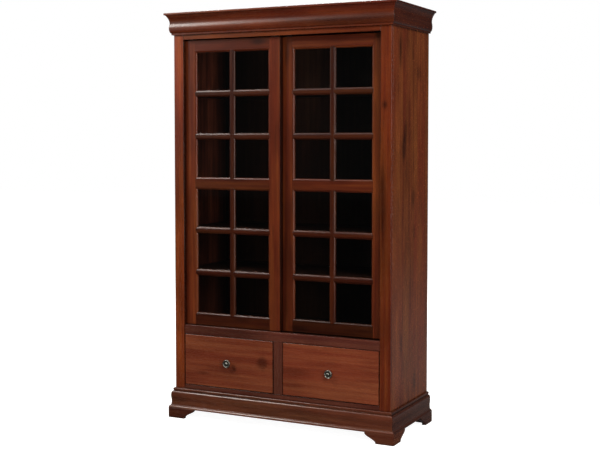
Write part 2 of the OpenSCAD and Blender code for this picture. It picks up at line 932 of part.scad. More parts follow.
// Turned knob: a rose on the drawer front, a waisted neck and a dished head with a raised rim and
// a button in the middle
module drawer_knob() {
    rose = [knob_r * 0.45, 2];
    neck_r = knob_r * 0.32;
    head_y = knob_out * 0.48;
    back_r = knob_r * 0.75;
    rim_r = knob_r * 0.86;
    rim_y = knob_out * 0.7;
    rim_top = knob_out * 0.88;
    dish = [knob_r * 0.5, knob_out * 0.76];
    button_r = knob_r * 0.42;
    color(pewter) translate([0, -frame_t, drawer_open_h / 2]) rotate([90, 0, 0])
        rotate_extrude() polygon(concat(
            [[0, 0], [rose.x, 0]],
            quarter(rose, [neck_r, head_y / 2], true, 4),
            quarter([neck_r, head_y / 2], [back_r, head_y], false, 6),
            quarter([back_r, head_y], [knob_r, rim_y], true, 6),
            quarter([knob_r, rim_y], [rim_r, rim_top], false, 5),
            quarter([rim_r, rim_top], dish, false, 5),
            [[button_r, dish.y]],
            quarter([button_r, dish.y], [0, knob_out], false, 8)));
}

// Slide members on both sides of a drawer. Each is a channel along Y between the distances near
// and far from the mounting face, with its web at near or, where web_far is true, at far.
module slide_pair(near, far, half_h, flange_t, web_far = false) {
    high = slide_z - drawer_z + half_h;
    low = high - 2 * half_h;
    inset = web_far ? [-cut, -slide_wall] : [slide_wall, cut];
    mirrored_pair() translate([-drawer_w / 2, slide_setback, 0]) difference() {
        block([near, 0, low], [far, slide_l, high]);
        block([near + inset[0], -cut, low + flange_t], [far + inset[1], slide_l + cut, high - flange_t]);
    }
}

module drawer_slide_channel() {
    slide_pair(0, channel_edge, slide_h / 2, slide_wall);
}

module drawer_slide_middle() {
    color(steel) slide_pair(middle_near, middle_far, middle_half_h, race_t);
}

module drawer_slide_inner() {
    color(steel) slide_pair(inner_near, slide_t, inner_half_h, race_t, true);
}

module at_left_drawer() {
    translate([-drawer_x, frame_back_y, drawer_z]) children();
}

module at_right_drawer() {
    translate([drawer_x, frame_back_y, drawer_z]) children();
}

// Channels of all four slides, fixed to the packers
module slide_channels() {
    color(steel) {
        at_left_drawer() drawer_slide_channel();
        at_right_drawer() drawer_slide_channel();
    }
}

// Wooden strips that bring the slides out to the edges of the drawer openings
module slide_packers() {
    low = slide_z - packer_h / 2;
    high = slide_z + packer_h / 2;
    color(inner_wood) mirrored_pair() {
        block([-inner_x, frame_back_y, low], [-opening_x, panel_y, high]);
        block([-centre_stile_w / 2, frame_back_y, low], [-board_t / 2, panel_y, high]);
    }
}

module left_drawer_front() {
    at_left_drawer() drawer_front();
}

module left_drawer_box() {
    at_left_drawer() drawer_box();
}

module left_drawer_knob() {
    at_left_drawer() drawer_knob();
}

module left_drawer_slide_middle() {
    at_left_drawer() drawer_slide_middle();
}

module left_drawer_slide_inner() {
    at_left_drawer() drawer_slide_inner();
}

module right_drawer_front() {
    at_right_drawer() drawer_front();
}

module right_drawer_box() {
    at_right_drawer() drawer_box();
}

module right_drawer_knob() {
    at_right_drawer() drawer_knob();
}

module right_drawer_slide_middle() {
    at_right_drawer() drawer_slide_middle();
}

module right_drawer_slide_inner() {
    at_right_drawer() drawer_slide_inner();
}

side_panel_left();
side_panel_right();
back_panel();
case_top();
case_deck();
case_bottom();
drawer_divider();
top_board();
frame_stile_left();
frame_stile_right();
frame_centre_stile();
frame_top_rail();
frame_middle_rail();
frame_bottom_rail();
crown_moulding();
base_moulding();
front_left_foot();
front_right_foot();
rear_left_foot();
rear_right_foot();
fixed_shelf();
shelf_1();
shelf_2();
shelf_3();
shelf_4();
shelf_pins();
door_jambs();
upper_track();
lower_track();
slide_packers();
slide_channels();
left_door_stiles();
left_door_rails();
left_door_glazing_bars();
left_door_glass();
left_door_glass_beads();
left_door_wheel_housings();
left_door_guides();
left_door_wheel_1();
left_door_wheel_2();
right_door_stiles();
right_door_rails();
right_door_glazing_bars();
right_door_glass();
right_door_glass_beads();
right_door_wheel_housings();
right_door_guides();
right_door_wheel_1();
right_door_wheel_2();
left_drawer_front();
left_drawer_box();
left_drawer_knob();
left_drawer_slide_middle();
left_drawer_slide_inner();
right_drawer_front();
right_drawer_box();
right_drawer_knob();
right_drawer_slide_middle();
right_drawer_slide_inner();
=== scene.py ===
from math import cos, pi, radians, sin

import bpy
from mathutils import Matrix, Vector


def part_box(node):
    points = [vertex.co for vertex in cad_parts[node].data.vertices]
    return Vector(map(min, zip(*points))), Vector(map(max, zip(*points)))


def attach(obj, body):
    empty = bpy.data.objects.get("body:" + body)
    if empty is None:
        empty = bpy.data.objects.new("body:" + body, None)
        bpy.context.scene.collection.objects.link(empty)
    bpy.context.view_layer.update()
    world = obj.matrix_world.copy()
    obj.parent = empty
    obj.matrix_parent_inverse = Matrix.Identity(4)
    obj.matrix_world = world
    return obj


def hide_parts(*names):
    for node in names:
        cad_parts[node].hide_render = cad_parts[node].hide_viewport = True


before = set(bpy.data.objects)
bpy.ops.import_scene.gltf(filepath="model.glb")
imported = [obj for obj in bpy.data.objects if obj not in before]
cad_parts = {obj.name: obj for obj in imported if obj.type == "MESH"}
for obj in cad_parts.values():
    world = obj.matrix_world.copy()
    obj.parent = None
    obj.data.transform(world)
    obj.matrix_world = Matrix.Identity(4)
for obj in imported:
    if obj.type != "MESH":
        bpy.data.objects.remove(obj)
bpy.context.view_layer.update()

# Executive bookcase in stained cherry: two sliding glazed doors over two drawers, a crown
# moulding, a base moulding and bracket feet. Metres, origin on the floor, front towards -Y.


# Camera
# Stands right of the front at eye height. The sensor is 36 mm wide, and the lens, place and
# turn were fitted to the corners of the case.
camera = bpy.data.objects.new("camera", bpy.data.cameras.new("camera"))
bpy.context.scene.collection.objects.link(camera)
bpy.context.scene.camera = camera
camera.data.sensor_width = 36
camera.data.lens = 66.804
camera.data.shift_y = -0.05
camera.location = (2.5899, -5.1605, 1.4616)
camera.rotation_euler = (radians(90 - 2.8195), 0, radians(26.5855))


# Studio
# Pale paper floor, soft boxes on the left, overhead, on the right and behind, a soft ceiling,
# white paper behind the case and a dark room in front of it, so that its gloss stays deep.
def node(tree, kind, inputs=(), **settings):
    """Adds a shader node; inputs gives each socket a value or the socket that feeds it."""
    made = tree.nodes.new(kind)
    for key, value in settings.items():
        setattr(made, key, value)
    for key, value in dict(inputs).items():
        if isinstance(value, bpy.types.NodeSocket):
            tree.links.new(value, made.inputs[key])
        else:
            made.inputs[key].default_value = value
    return made


def colour(hex_code):
    """An sRGB hex colour as linear light."""
    steps = [int(hex_code[i:i + 2], 16) / 255 for i in (1, 3, 5)]
    return [s / 12.92 if s <= 0.04045 else ((s + 0.055) / 1.055) ** 2.4 for s in steps] + [1]


def blank_material(name):
    """A new material with no shader nodes in it yet."""
    material = bpy.data.materials.new(name)
    material.use_nodes = True
    material.node_tree.nodes.clear()
    return material


# Matt pale paper, so bright that only the faint shadow of the case shows on it
paper = blank_material("pale_paper_floor")
tree = paper.node_tree
rays = node(tree, "ShaderNodeLightPath")
lit = node(tree, "ShaderNodeBsdfDiffuse", {"Color": colour("#A0A0A0")})
glow = node(tree, "ShaderNodeEmission", {"Color": colour("#FFFFFF"), "Strength": 0.96})
shown_glow = node(tree, "ShaderNodeMixShader", {0: rays.outputs["Is Camera Ray"], 2: glow.outputs[0]})
shown = node(tree, "ShaderNodeAddShader", {0: lit.outputs[0], 1: shown_glow.outputs[0]})
# In gloss and through glass the floor is dark in front of the case and pale behind it, a little to
# the right, where the side panel mirrors it
place = node(tree, "ShaderNodeTexCoord")
depth = node(tree, "ShaderNodeVectorMath", {0: place.outputs["Object"], 1: (0.45, 0.89, 0)},
             operation="DOT_PRODUCT")
behind = node(tree, "ShaderNodeMapRange",
              {"Value": depth.outputs["Value"], "From Min": 0.0, "From Max": 1.5,
               "To Min": 0.01, "To Max": 0.16})
fading = node(tree, "ShaderNodeMapRange",
              {"Value": depth.outputs["Value"], "From Min": 2.0, "From Max": 9.0,
               "To Min": 1.0, "To Max": 0.3})
whiteness = node(tree, "ShaderNodeMath", {0: behind.outputs[0], 1: fading.outputs[0]},
                 operation="MULTIPLY")
mirrored = node(tree, "ShaderNodeEmission",
                {"Color": colour("#FFFFFF"), "Strength": whiteness.outputs[0]})
in_gloss = node(tree, "ShaderNodeMath",
                {0: rays.outputs["Is Glossy Ray"], 1: rays.outputs["Is Transmission Ray"]},
                operation="MAXIMUM")
surface = node(tree, "ShaderNodeMixShader",
               {0: in_gloss.outputs[0], 1: shown.outputs[0], 2: mirrored.outputs[0]})
node(tree, "ShaderNodeOutputMaterial", {"Surface": surface.outputs[0]})

bpy.ops.object.select_all(action="DESELECT")
bpy.ops.mesh.primitive_plane_add(size=40)
floor = bpy.context.object
floor.name = "paper_floor"
floor.data.materials.append(paper)


def soft_box(name, place, aim, size, power):
    """A lamp behind a warm white cloth, its size in metres and its power in watts. It isn't seen
    through glass."""
    lamp = bpy.data.lights.new(name, "AREA")
    lamp.shape = "RECTANGLE"
    lamp.size, lamp.size_y = size
    lamp.energy = power
    lamp.color = (1, 0.95, 0.9)
    holder = bpy.data.objects.new(name, lamp)
    holder.location = place
    holder.rotation_euler = (Vector(aim) - Vector(place)).to_track_quat("-Z", "Y").to_euler()
    holder.visible_transmission = False
    bpy.context.scene.collection.objects.link(holder)
    return holder


soft_box("left_soft_box", (-2.9, -2.9, 4.4), (-0.3, 0, 1.5), (0.8, 2.0), 160)
soft_box("left_middle_box", (-2.9, -3.5, 3.3), (-0.4, -0.2, 2.0), (1.0, 1.3), 8)
soft_box("left_fill_box", (-3.4, -3.4, 2.2), (0, 0, 1.1), (1.2, 2.0), 10)
soft_box("top_soft_box", (0.2, -0.7, 4.6), (0, 0, 1.0), (2.2, 1.2), 70)
soft_box("right_soft_box", (2.5, -3.5, 4.4), (0, 0, 1.1), (1.4, 1.4), 75)
tall_box = soft_box("right_tall_box", (2.9, -2.5, 1.7), (0, 0, 1.2), (0.7, 2.6), 95)
soft_box("side_soft_box", (4.2, 1.2, 2.6), (0.4, 0, 1.1), (1.2, 2.0), 40)
soft_box("high_side_box", (3.6, 0.6, 4.6), (0.4, 0, 1.1), (1.6, 1.6), 45)
soft_box("rear_soft_box", (-2.0, 4.2, 3.8), (0, 0, 1.1), (2.4, 1.8), 260)
# The panes don't mirror the tall box, which would show in them as a white sheet from the left
panes = bpy.data.collections.new("panes")
for name in ("left_door_glass", "right_door_glass"):
    panes.objects.link(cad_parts[name])
tall_box.light_linking.receiver_collection = panes
for pane in panes.collection_objects:
    pane.light_linking.link_state = "EXCLUDE"

# The room is white to the camera. Gloss shows a dark room with a pale ceiling and a pale wall
# behind the case.
world = bpy.data.worlds.new("studio_room")
bpy.context.scene.world = world
world.use_nodes = True
tree = world.node_tree
tree.nodes.clear()
rays = node(tree, "ShaderNodeLightPath")
direction = node(tree, "ShaderNodeTexCoord")
parts = node(tree, "ShaderNodeSeparateXYZ", {0: direction.outputs["Generated"]})
ceiling = node(tree, "ShaderNodeMapRange",
               {"Value": parts.outputs["Z"], "From Min": 0.3, "From Max": 0.8,
                "To Min": 0.02, "To Max": 0.26}, interpolation_type="SMOOTHSTEP")
nearness = node(tree, "ShaderNodeVectorMath", {0: direction.outputs["Generated"], 1: (-0.45, 0.89, 0)},
                operation="DOT_PRODUCT")
wall = node(tree, "ShaderNodeMapRange",
            {"Value": nearness.outputs["Value"], "From Min": 0.75, "From Max": 0.97,
             "To Min": 0.0, "To Max": 0.25}, interpolation_type="SMOOTHSTEP")
bright = node(tree, "ShaderNodeMath", {0: ceiling.outputs[0], 1: wall.outputs[0]}, operation="MAXIMUM")
strength = node(tree, "ShaderNodeMath", {0: bright.outputs[0], 1: rays.outputs["Is Camera Ray"]},
                operation="MAXIMUM")
room = node(tree, "ShaderNodeBackground", {"Color": colour("#FFFFFF"), "Strength": strength.outputs[0]})
node(tree, "ShaderNodeOutputWorld", {"Surface": room.outputs[0]})


# Side panels
# Solid cherry 19 mm thick, glued up from upright boards, stained dark and lacquered. The face
# frame covers their front edges, and every sharp corner is sanded over.
def stained_wood(name, red="#602410", gold="#6A3314", figure=1.0, streak=0.45, marks=(), roughness=0.27,
                 specular=0.3, coat=0.25, polish=0.08):
    """Stained wood under semi-gloss lacquer. It reads the piece's own attributes: plank, the place
    in the plank with x along the grain, and tone, the share of light that its stain leaves. figure
    is how strongly the grain shows, and streak how dark its mineral streaks are. coat is how much
    lacquer lies on it, and polish how rough that is. marks are knots, stains, painted shade and
    painted highlights at a real place: (place, half sizes, share of light left)."""
    material = blank_material(name)
    tree = material.node_tree
    place = node(tree, "ShaderNodeTexCoord").outputs["Object"]
    where = node(tree, "ShaderNodeAttribute", attribute_name="plank").outputs["Vector"]
    tone = node(tree, "ShaderNodeAttribute", attribute_name="tone").outputs["Fac"]

    # Noise drawn out along the grain: (layer, its length and width on the board, the rest)
    noise = {}
    for layer, length, width, more in (
            # Clouds of stain 70 mm wide and 200 mm long
            ("clouds", 0.2, 0.07143, {"Detail": 4}),
            # Soft streaks 18 mm wide that run half a metre
            ("streaks", 0.5556, 0.01818, {"Detail": 3, "Distortion": 0.3}),
            # Bands of the two colours, a hand wide and more than an arm long
            ("bands", 1.111, 0.1111, {"Detail": 3}),
            # Pores: dark threads 2 mm wide, twice the real width so that they show, and 40 mm long
            ("pores", 0.04, 0.002, {"Detail": 2}),
            # Dark mineral streaks, at most 42 mm wide and 300 mm long, few and soft
            ("darks", 0.3125, 0.04167, {"Detail": 3, "Roughness": 0.6})):
        drawn_out = node(tree, "ShaderNodeVectorMath", {0: where, 1: (length, width, width)},
                         operation="DIVIDE")
        texture = node(tree, "ShaderNodeTexNoise", {"Vector": drawn_out.outputs[0], "Scale": 1, **more})
        noise[layer] = texture.outputs["Fac"]
    # Yearly rings 11 mm apart, wandering along the plank, so that they run out in arches. At a
    # scale of 1 the texture has them 314 mm apart.
    ring_gap = 0.011
    gap_at_scale_1 = 0.314
    ring_way = node(tree, "ShaderNodeMapping",
                    {"Vector": where, "Rotation": (0, radians(1.6), radians(2.4)), "Scale": (0.25, 1, 1)})
    rings = node(tree, "ShaderNodeTexWave",
                 {"Vector": ring_way.outputs[0], "Scale": gap_at_scale_1 / ring_gap, "Distortion": 9,
                  "Detail": 3, "Detail Scale": 0.3, "Detail Roughness": 0.6},
                 wave_type="RINGS", rings_direction="X", wave_profile="SAW")

    # The bands are red brown and golden brown, and the streaks fray their edges
    frayed = node(tree, "ShaderNodeMath", {0: noise["bands"], 1: noise["streaks"]}, operation="ADD")
    golden = node(tree, "ShaderNodeMapRange",
                  {"Value": frayed.outputs[0], "From Min": 0.85, "From Max": 1.25})
    base = node(tree, "ShaderNodeMix", {0: golden.outputs[0], 6: colour(red), 7: colour(gold)},
                data_type="RGBA")
    # Each layer leaves its own share of the light: (layer, its low and high value, the share at the
    # low value and the share at the high one)
    shares = [tone]
    for layer, low, high, low_share, high_share in (
            (noise["clouds"], 0.3, 0.7, 1 - 0.34 * figure, 1 + 0.34 * figure),
            (noise["streaks"], 0.3, 0.7, 1 - 0.36 * figure, 1 + 0.36 * figure),
            (rings.outputs["Fac"], 0, 1, 1 + 0.10 * figure, 1 - 0.14 * figure),
            (noise["pores"], 0.3, 0.7, 1.08, 0.92),
            (noise["darks"], 0.6, 0.78, 1, 1 - streak)):
        share = node(tree, "ShaderNodeMapRange", {"Value": layer, "From Min": low, "From Max": high,
                                                 "To Min": low_share, "To Max": high_share})
        shares.append(share.outputs[0])
    # Dark glaze stays in corners and gaps up to 10 mm wide when the rest is wiped off. It is read from
    # the occlusion there, so it also paints the shade that falls in them
    corners = node(tree, "ShaderNodeAmbientOcclusion", {"Distance": 0.01}, samples=6)
    glaze_and_painted_shade = node(tree, "ShaderNodeMapRange", {"Value": corners.outputs["AO"], "From Min": 0.35,
                                             "From Max": 0.9, "To Min": 0.3, "To Max": 1.0})
    shares.append(glaze_and_painted_shade.outputs[0])
    # Marks fade out over a ragged edge
    ragged = node(tree, "ShaderNodeMapRange", {"Value": noise["darks"], "To Min": -0.5, "To Max": 0.5})
    for middle, half_size, left in marks:
        away = node(tree, "ShaderNodeVectorMath", {0: place, 1: middle}, operation="SUBTRACT")
        scaled = node(tree, "ShaderNodeVectorMath", {0: away.outputs[0], 1: half_size}, operation="DIVIDE")
        reach = node(tree, "ShaderNodeVectorMath", {0: scaled.outputs[0]}, operation="LENGTH")
        uneven = node(tree, "ShaderNodeMath", {0: reach.outputs["Value"], 1: ragged.outputs[0]},
                      operation="ADD")
        share = node(tree, "ShaderNodeMapRange",
                     {"Value": uneven.outputs[0], "From Min": 0.2, "From Max": 1.1,
                      "To Min": left, "To Max": 1}, interpolation_type="SMOOTHSTEP")
        shares.append(share.outputs[0])
    paint = base.outputs[2]
    for share in shares:
        dimmed = node(tree, "ShaderNodeVectorMath", {0: paint, "Scale": share}, operation="SCALE")
        paint = dimmed.outputs[0]
    # The sheen is broken up along the pores
    spread = 0.05
    gloss = node(tree, "ShaderNodeMapRange",
                 {"Value": noise["pores"], "To Min": roughness - spread, "To Max": roughness + spread})
    bump = node(tree, "ShaderNodeBump", {"Height": noise["pores"], "Strength": 0.05, "Distance": 0.0003})
    shader = node(tree, "ShaderNodeBsdfPrincipled",
                  {"Base Color": paint, "Roughness": gloss.outputs[0], "Normal": bump.outputs[0],
                   "Specular IOR Level": specular, "Coat Weight": coat, "Coat Roughness": polish})
    node(tree, "ShaderNodeOutputMaterial", {"Surface": shader.outputs[0]})
    return material


def pick(piece):
    """Selects one piece alone and makes it active."""
    bpy.ops.object.select_all(action="DESELECT")
    bpy.context.view_layer.objects.active = piece
    piece.select_set(True)


planks_used = 0


def timber(name, node_name, body, wood, tones=(1,), eased=0.001, shortest=0.03, glue_lines=()):
    """A new piece over a CAD node. Each of its boards comes from its own plank, with the grain along
    its longest side and its own tone, from left to right and from the bottom up. Its corners longer
    than shortest are sanded over to the width eased. glue_lines are the depths at which a panel
    changes from board to board."""
    global planks_used
    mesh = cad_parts[node_name].data.copy()
    mesh.materials.clear()
    mesh.materials.append(wood)
    piece = bpy.data.objects.new(name, mesh)
    bpy.context.scene.collection.objects.link(piece)
    # The loose triangles are joined to whole faces, and the long corners are picked and sanded
    pick(piece)
    bpy.ops.mesh.customdata_custom_splitnormals_clear()
    bpy.ops.object.mode_set(mode="EDIT")
    bpy.ops.mesh.select_all(action="SELECT")
    bpy.ops.mesh.remove_doubles(threshold=0.00001)
    bpy.ops.mesh.dissolve_limited(angle_limit=radians(1))
    bpy.ops.mesh.select_all(action="DESELECT")
    bpy.ops.mesh.select_mode(type="EDGE")
    bpy.ops.mesh.edges_select_sharp(sharpness=radians(38))
    bpy.ops.object.mode_set(mode="OBJECT")
    for edge in mesh.edges:
        ends = [mesh.vertices[i].co for i in edge.vertices]
        if (ends[0] - ends[1]).length < shortest:
            edge.select = False
    bpy.ops.object.mode_set(mode="EDIT")
    bpy.ops.mesh.bevel(offset=eased, segments=3, profile=0.5, affect="EDGES", clamp_overlap=True)
    # A cut along each glue line, and then every board for itself
    for line in glue_lines:
        bpy.ops.mesh.select_all(action="SELECT")
        bpy.ops.mesh.bisect(plane_co=(0, line, 0), plane_no=(0, 1, 0))
    bpy.ops.mesh.separate(type="LOOSE")
    bpy.ops.object.mode_set(mode="OBJECT")
    bpy.ops.object.shade_smooth_by_angle(angle=radians(32))

    boards = list(bpy.context.selected_objects)
    middles = {b: sum((Vector(c) for c in b.bound_box), Vector()) / 8 for b in boards}
    boards.sort(key=lambda b: [round(v, 3) for v in (middles[b].x, middles[b].z, middles[b].y)])
    for number, board in enumerate(boards):
        sizes = list(board.dimensions)
        along = sizes.index(max(sizes))
        board.data.attributes.new("plank", "FLOAT_VECTOR", "CORNER")
        board.data.attributes.new("tone", "FLOAT", "CORNER")
        plank, tone = board.data.attributes["plank"], board.data.attributes["tone"]
        for face in board.data.polygons:
            strip = sum(face.center.y > line for line in glue_lines)
            count = planks_used + strip
            # Every plank is cut from another place in the wood
            start = Vector((2.31 * count % 17, 0.047 * count % 0.31, 0.031 * count % 0.19))
            for loop in face.loop_indices:
                corner = board.data.vertices[board.data.loops[loop].vertex_index].co
                turned = Vector((corner[along], corner[(along + 1) % 3], corner[(along + 2) % 3]))
                plank.data[loop].vector = turned + start
                tone.data[loop].value = tones[(number + strip) % len(tones)]
        planks_used += 1 + len(glue_lines)
        weighted = board.modifiers.new("even_shading", "WEIGHTED_NORMAL")
        weighted.keep_sharp = True
        bpy.context.view_layer.objects.active = board
        bpy.ops.object.modifier_apply(modifier=weighted.name)
    # The boards are put back together as one piece
    bpy.context.view_layer.objects.active = boards[0]
    if len(boards) > 1:
        bpy.ops.object.join()
    piece = bpy.context.view_layer.objects.active
    piece.name = name
    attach(piece, body)
    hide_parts(node_name)
    return piece


# Knots and mineral streaks on the outside of the right-hand panel
side_marks = (
    ((0.61, -0.122, 1.90), (0.1, 0.024, 0.115), 0.30),
    ((0.61, -0.070, 1.42), (0.1, 0.048, 0.085), 0.40),
    ((0.61, -0.050, 1.50), (0.1, 0.026, 0.070), 0.55),
    ((0.61, 0.056, 1.17), (0.1, 0.034, 0.075), 0.50),
    ((0.61, 0.073, 1.00), (0.1, 0.022, 0.045), 0.55),
    ((0.61, 0.125, 1.80), (0.1, 0.045, 0.050), 0.60),
    ((0.61, 0.046, 1.90), (0.1, 0.014, 0.070), 0.60),
    ((0.61, -0.098, 0.46), (0.1, 0.024, 0.070), 0.60),
    ((0.61, 0.084, 0.24), (0.1, 0.030, 0.070), 0.55))
# Stained cherry, semi-gloss: red brown, a little different from board to board, with a soft sheen
panel_wood = stained_wood("stained_cherry_side_panels", red="#5E2713", gold="#683819", figure=0.5,
                          streak=0.35, marks=side_marks)
# Inside, the same panels are stained darker and left dull. On the left one, which shows through
# the panes, shade is painted towards the front edge, in the back corner and low down.
inner_painted_shade = (
    ((-0.591, -0.15, 1.25), (0.05, 0.20, 2.5), 0.30),
    ((-0.591, 0.25, 1.25), (0.05, 0.11, 2.5), 0.40),
    ((-0.591, 0.05, 0.70), (0.05, 0.60, 0.75), 0.45))
inner_wood = stained_wood("dull_stained_cherry_panels", red="#58261A", gold="#603020", figure=0.8,
                          streak=0.2, roughness=0.5, specular=0.1, coat=0.0, marks=inner_painted_shade)


def refinish(piece, wood, way):
    """Gives the faces of a piece that look one way another finish."""
    piece.data.materials.append(wood)
    for face in piece.data.polygons:
        if face.normal.dot(Vector(way)) > 0.9:
            face.material_index = 1


# Boards 158 mm wide, of which the first and the last are cut narrower
board_width = 0.158
first_line = -0.089
glue_lines = [first_line + board_width * i for i in range(3)]
for name, node_name, inwards, tones in (
        ("left_side", "side_panel_left", 1, (0.86, 0.78, 0.92)),
        ("right_side", "side_panel_right", -1, (0.83, 0.76, 0.89, 0.8))):
    panel = timber(name, node_name, "case", panel_wood, tones=tones, glue_lines=glue_lines, eased=0.0015)
    refinish(panel, inner_wood, (inwards, 0, 0))


# Face frame
# Solid cherry 20 mm thick, upright stiles and level rails, glued to the front of the case. Its
# sanded corners catch a thin line of light.

# A knot and darker patches below it on the right stile, a painted highlight on the top of the left
# stile with painted shade lower down, the left half of the middle rail darker, and painted shade
# along the gaps to the doors and drawers
frame_knots_and_painted_light = (
    ((0.575, -0.234, 1.63), (0.020, 0.1, 0.030), 0.40),
    ((0.565, -0.234, 1.20), (0.022, 0.1, 0.300), 0.50),
    ((0.585, -0.234, 0.80), (0.060, 0.1, 0.700), 0.80),
    ((-0.553, -0.224, 1.24), (0.004, 0.05, 3.0), 0.15),
    ((-0.590, -0.234, 1.85), (0.080, 0.050, 0.350), 1.50),
    ((-0.590, -0.234, 1.10), (0.080, 0.050, 0.800), 0.84),
    ((-0.350, -0.234, 0.470), (0.350, 0.050, 0.040), 0.62),
    ((-0.025, -0.234, 0.3125), (0.003, 0.050, 0.17), 0.40),
    ((0.553, -0.234, 0.3125), (0.003, 0.050, 0.17), 0.40),
    ((0.0, -0.234, 0.178), (0.6, 0.050, 0.003), 0.40))
# The same stain and lacquer as the sides, but redder
frame_wood = stained_wood("stained_cherry_face_frame", figure=0.6, marks=frame_knots_and_painted_light)
timber("face_stile_left", "frame_stile_left", "case", frame_wood, tones=(1.03,), eased=0.0018)
timber("face_stile_right", "frame_stile_right", "case", frame_wood, tones=(0.76,), eased=0.0018)
# Round the drawers the frame is handled most, and its stain has worn greyer
worn_wood = stained_wood("worn_stained_cherry_frame", red="#5A2B22", gold="#5E3426", figure=0.5,
                         marks=frame_knots_and_painted_light)
timber("face_stile_centre", "frame_centre_stile", "case", worn_wood, tones=(0.66,), eased=0.0006)
timber("face_top_rail", "frame_top_rail", "case", frame_wood, tones=(0.78,), eased=0.0008)
timber("face_middle_rail", "frame_middle_rail", "case", worn_wood, tones=(0.73,), eased=0.0015)
timber("face_bottom_rail", "frame_bottom_rail", "case", worn_wood, tones=(0.62,), eased=0.0008)


# Crown moulding and top board
# One moulded length across the front and a return on each side, mitred at the front corners,
# with a board over the case between them. The returns get the darkest tones, as painted shade.

# Painted shade on the round towards the right, a painted highlight in the hollow over it there,
# and the hollow darker at its left end.
crown_painted_light = (
    ((0.40, -0.256, 2.035), (0.50, 0.030, 0.035), 0.43),
    ((0.25, -0.270, 2.088), (0.35, 0.020, 0.014), 1.45),
    ((-0.55, -0.250, 2.075), (0.20, 0.030, 0.020), 0.75))
# More lacquer than elsewhere: the round of the moulding carries one long soft highlight
crown_wood = stained_wood("lacquered_cherry_crown", red="#5A2010", gold="#622B12", figure=0.6,
                          streak=0.3, coat=0.6, polish=0.24, marks=crown_painted_light)
# Left return, front and right return: the low tones of the returns paint the shade on them
timber("crown", "crown_moulding", "case", crown_wood, tones=(0.47, 0.74, 0.37), shortest=0.1)
# Out of sight and hardly lacquered: a flat brown that takes no sheen from the lamps
top_wood = stained_wood("matt_stained_cherry_top", red="#582616", gold="#60301C", figure=0.6,
                        roughness=0.55, specular=0.12, coat=0.0)
timber("dust_board", "top_board", "case", top_wood, tones=(0.66,))


# Base moulding and bracket feet
# The base moulding goes round the case like the crown, and stands on four feet made of two
# mitred boards with an ogee edge and a glue block behind.

# Browner than the case and more polished, with a sheen that spreads a little wider
base_wood = stained_wood("lacquered_cherry_base", red="#54281A", gold="#583220", figure=0.6,
                         streak=0.4, coat=0.6, polish=0.14)
timber("base", "base_moulding", "case", base_wood, tones=(0.72, 0.89, 0.47), shortest=0.1)
for side, tones in (("front_left", (0.7, 0.7)), ("front_right", (0.9, 1.0)),
                    ("rear_left", (0.6,)), ("rear_right", (0.5,))):
    timber(side + "_foot_boards", side + "_foot", "case", base_wood, tones=tones, shortest=0.035)


# Boards inside the case
# Back, top, deck, bottom, divider, jambs and packers: cherry boards coloured nearly black brown as
# painted shade, with a thinner, duller coat of lacquer. The back is plywood, with one coat of stain
# outside.

# Painted light: the inside of the back is lighter where it shows behind the upper panes
back_painted_light = (((-0.08, 0.268, 1.85), (0.20, 0.005, 0.55), 2.4),)
# Black brown and matt, painted shade for the inside of the case, so that hardly more than its
# edges shows behind the glass
inside_wood = stained_wood("matt_cherry_inside_painted_shade", red="#220F09", gold="#26140C", figure=0.4,
                           roughness=0.5, specular=0.1, coat=0.0, marks=back_painted_light)
# Stained plywood, not lacquered: a flat brown with long stripes where the veneer took the stain
plywood = stained_wood("stained_plywood_back", red="#4A2416", gold="#5A3420", figure=0.7,
                       roughness=0.5, specular=0.2, coat=0.0)
back_board = timber("back_board", "back_panel", "case", inside_wood, tones=(0.93,))
refinish(back_board, plywood, (0, 1, 0))
for name in ("case_top", "case_deck", "case_bottom", "drawer_divider", "slide_packers",
             "upper_track", "door_jambs"):
    timber(name + "_board", name, "case", inside_wood, tones=(0.72, 0.86))


# Shelves and pins
# Four loose shelves on steel pins, and one fixed shelf behind the middle rails of the doors, let
# into the sides. All are stained like the boards inside.
for name in ("fixed_shelf", "shelf_1", "shelf_2", "shelf_3", "shelf_4"):
    timber(name + "_board", name, "case", inside_wood, tones=(0.79,))


def metal(name, shade, roughness):
    """Metal whose sheen changes a little from spot to spot, 2.5 mm across so that it shows."""
    spot_size = 0.0025
    wear = 0.06
    material = blank_material(name)
    tree = material.node_tree
    place = node(tree, "ShaderNodeTexCoord")
    grit = node(tree, "ShaderNodeTexNoise",
                {"Vector": place.outputs["Object"], "Scale": 1 / spot_size, "Detail": 2})
    gloss = node(tree, "ShaderNodeMapRange",
                 {"Value": grit.outputs["Fac"], "To Min": roughness - wear, "To Max": roughness + wear})
    bump = node(tree, "ShaderNodeBump",
                {"Height": grit.outputs["Fac"], "Strength": 0.1, "Distance": 0.0002})
    shader = node(tree, "ShaderNodeBsdfPrincipled",
                  {"Base Color": colour(shade), "Metallic": 1, "Roughness": gloss.outputs[0],
                   "Normal": bump.outputs[0]})
    node(tree, "ShaderNodeOutputMaterial", {"Surface": shader.outputs[0]})
    return material


def show_in(node_name, material):
    """Gives its material to a CAD node that is shown as it is."""
    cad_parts[node_name].material_slots[0].material = material


# Zinc-plated steel: a cool light grey whose sheen is broken by the crystals of the plating
zinc = metal("zinc_plated_steel", "#B4B6B8", 0.34)
show_in("shelf_pins", zinc)


# Screws of the back
# Countersunk steel screws hold the plywood back to the sides and to every fixed board. Their
# heads lie just under its face, each in its own countersink.
hole_radius = 0.0042
head_depth = 0.003
head_gap = 0.0005
head_sunk = 0.0003
recess_depth = 0.0015
# Shares of the radius: the inner end of the cone, and the rim that is left round the recess
cone_end = 0.45
recess_rim = 0.35
